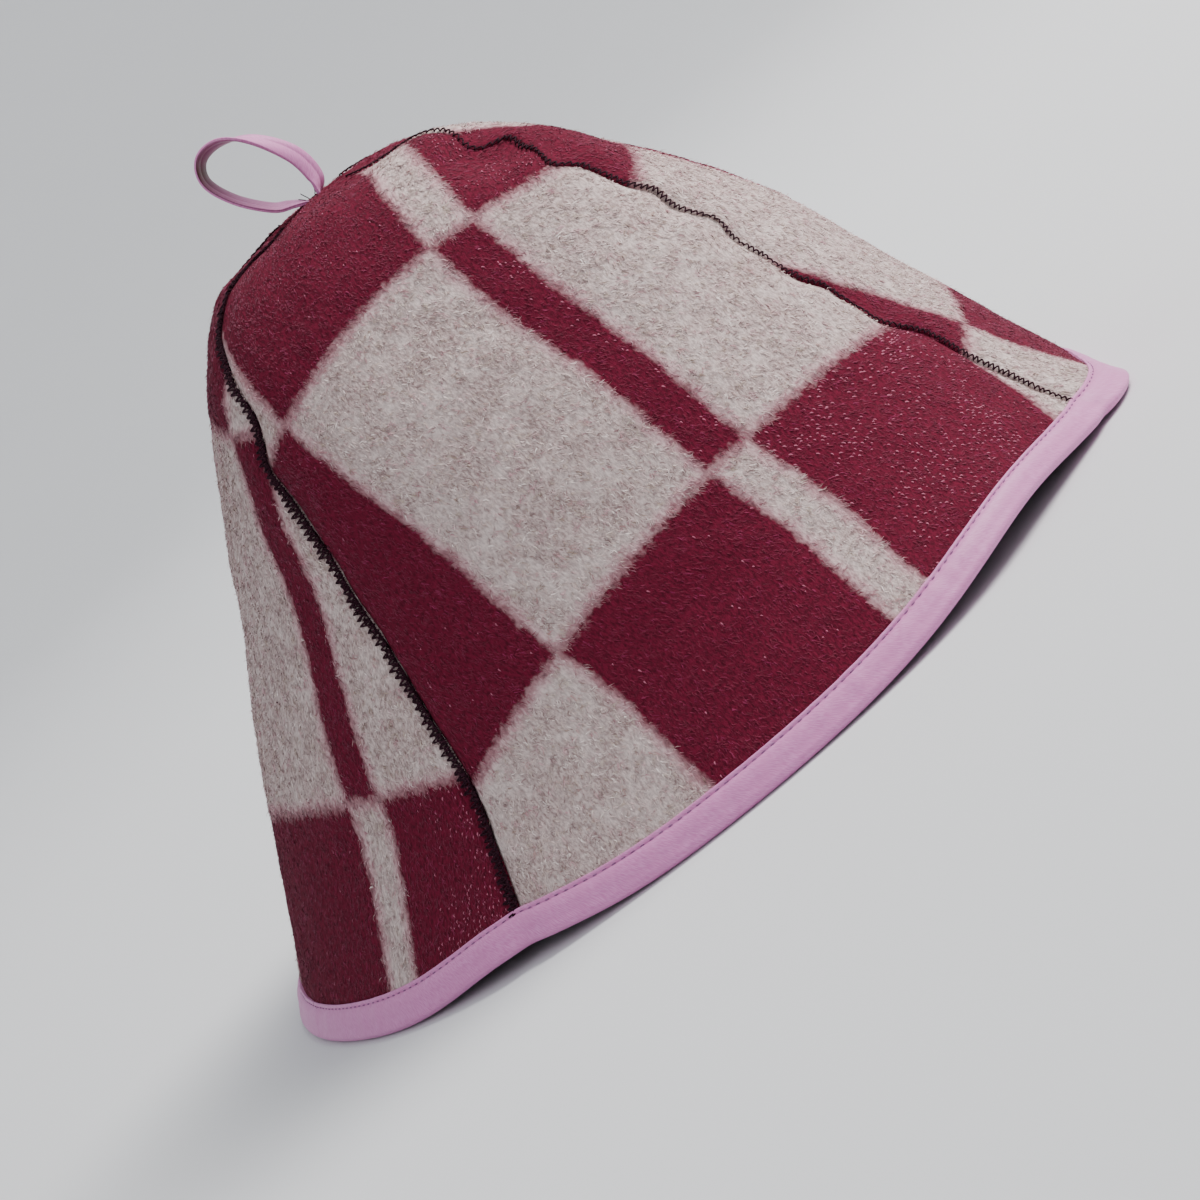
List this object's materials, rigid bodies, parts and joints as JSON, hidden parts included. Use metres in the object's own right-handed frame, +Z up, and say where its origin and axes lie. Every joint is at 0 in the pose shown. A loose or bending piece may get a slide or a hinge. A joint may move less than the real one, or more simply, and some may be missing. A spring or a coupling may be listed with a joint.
{
  "type": "sauna hat",
  "caption": "Bell-shaped sauna hat of brushed check wool cloth, with a pink bias-bound rim and a hanging loop.",
  "frame": {"origin": "Middle of the rim on the surface that the hat rests on, in the middle of its length and width.", "axes": "+Z up to the crown. -Y is the front of the hat, and -X is the wearer's right side."},
  "size_m": [0.3292, 0.3156, 0.2245],
  "materials": {
    "check_wool": "brushed wool blanket cloth, burgundy and cream check, matt and fuzzy",
    "pink_binding": "soft satin cotton tape, faint sheen",
    "plum_thread": "dark plum sewing thread"
  },
  "bodies": {
    "root": {"panel_front": "check_wool", "panel_right": "check_wool", "panel_back": "check_wool", "panel_left": "check_wool", "rim_binding": "pink_binding", "hang_loop": "pink_binding"}
  },
  "joints": []
}
